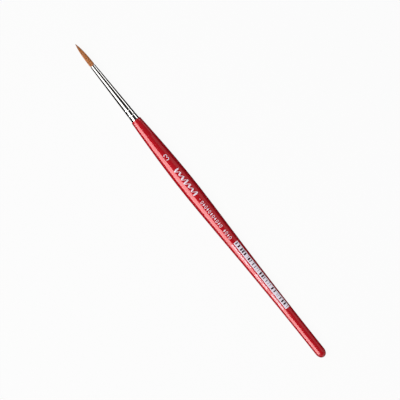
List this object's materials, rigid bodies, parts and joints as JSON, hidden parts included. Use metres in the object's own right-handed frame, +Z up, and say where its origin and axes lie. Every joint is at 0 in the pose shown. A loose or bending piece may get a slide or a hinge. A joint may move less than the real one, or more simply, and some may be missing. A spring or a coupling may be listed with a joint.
{
  "type": "fine detail brush",
  "caption": "Slim round brush for fine detail work: a glossy red turned handle, a crimped metal ferrule and a springy pointed tuft that bends.",
  "frame": {"origin": "centre of the brush's length, on the surface it lies on, straight under the handle's axis", "axes": "+X along the brush from the tuft to the end of the handle, +Z up from the surface it lies on, +Y to the left of someone looking along +X"},
  "size_m": [0.1782, 0.0074, 0.0075],
  "materials": {
    "red_lacquer": "gloss",
    "birch": "matte",
    "nickel_plate": "polished",
    "adhesive": "satin",
    "epoxy_resin": "gloss",
    "binding_thread": "matte",
    "sable_hair": "satin"
  },
  "bodies": {
    "root": {"handle_core": "birch", "handle_lacquer": "red_lacquer", "tenon_adhesive": "adhesive", "ferrule": "nickel_plate", "root_resin": "epoxy_resin", "root_binding": "binding_thread", "tuft_root": "sable_hair"},
    "heel": {"tuft_heel": "sable_hair"},
    "belly": {"tuft_belly": "sable_hair"},
    "shoulder": {"tuft_shoulder": "sable_hair"},
    "tip": {"tuft_tip": "sable_hair"}
  },
  "joints": [
    {"name": "tuft_lift", "type": "hinge", "parent": "root", "child": "heel", "pos_m": [-0.077, 0, 0.00373], "axis": [0, 1, 0], "range_deg": [-20, 20], "stiffness_Nm_per_rad": 0.00008},
    {"name": "tuft_sway", "type": "hinge", "parent": "heel", "child": "belly", "pos_m": [-0.08, 0, 0.00373], "axis": [0, 0, 1], "range_deg": [-20, 20], "stiffness_Nm_per_rad": 0.000025},
    {"name": "tip_lift", "type": "hinge", "parent": "belly", "child": "shoulder", "pos_m": [-0.083, 0, 0.00373], "axis": [0, 1, 0], "range_deg": [-25, 25]},
    {"name": "tip_sway", "type": "hinge", "parent": "shoulder", "child": "tip", "pos_m": [-0.0857, 0, 0.00373], "axis": [0, 0, 1], "range_deg": [-25, 25]}
  ],
  "couplings": [
    {"joint": "tip_lift", "follows": "tuft_lift", "ratio": 1.25},
    {"joint": "tip_sway", "follows": "tuft_sway", "ratio": 1.25}
  ]
}
